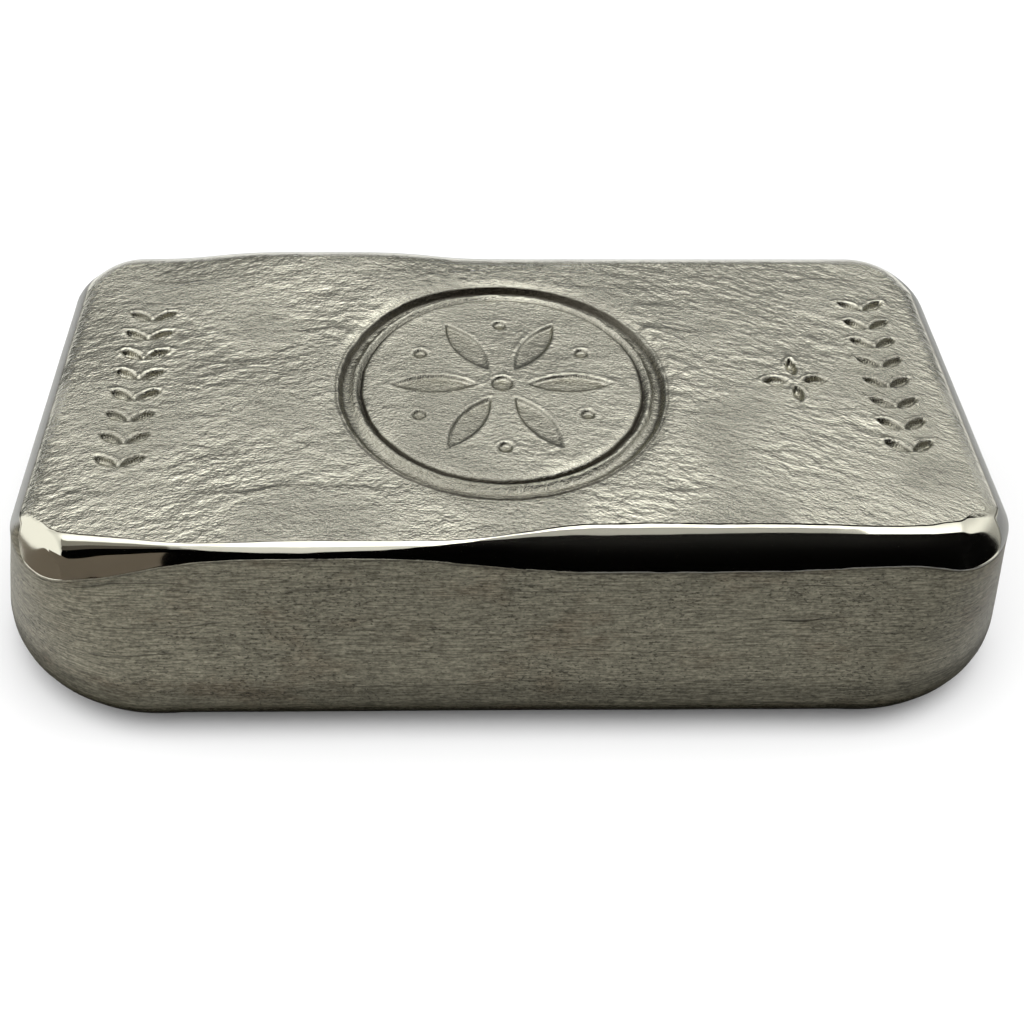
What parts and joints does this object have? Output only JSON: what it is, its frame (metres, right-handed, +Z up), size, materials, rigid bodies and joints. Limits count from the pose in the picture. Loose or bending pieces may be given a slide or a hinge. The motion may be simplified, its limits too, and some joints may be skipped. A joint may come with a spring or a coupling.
{
  "type": "tin ingot",
  "caption": "Small poured tin ingot: a drafted bar with rounded corners, a soft shoulder and a ring struck in its top face.",
  "frame": {"origin": "middle of the poured face, which the bar rests on", "axes": "+X along the bar's length, +Y across it, +Z up through the struck face"},
  "size_m": [0.0352, 0.0192, 0.0073],
  "materials": {
    "tin": "satin"
  },
  "bodies": {
    "root": {"ingot": "tin"}
  },
  "joints": []
}
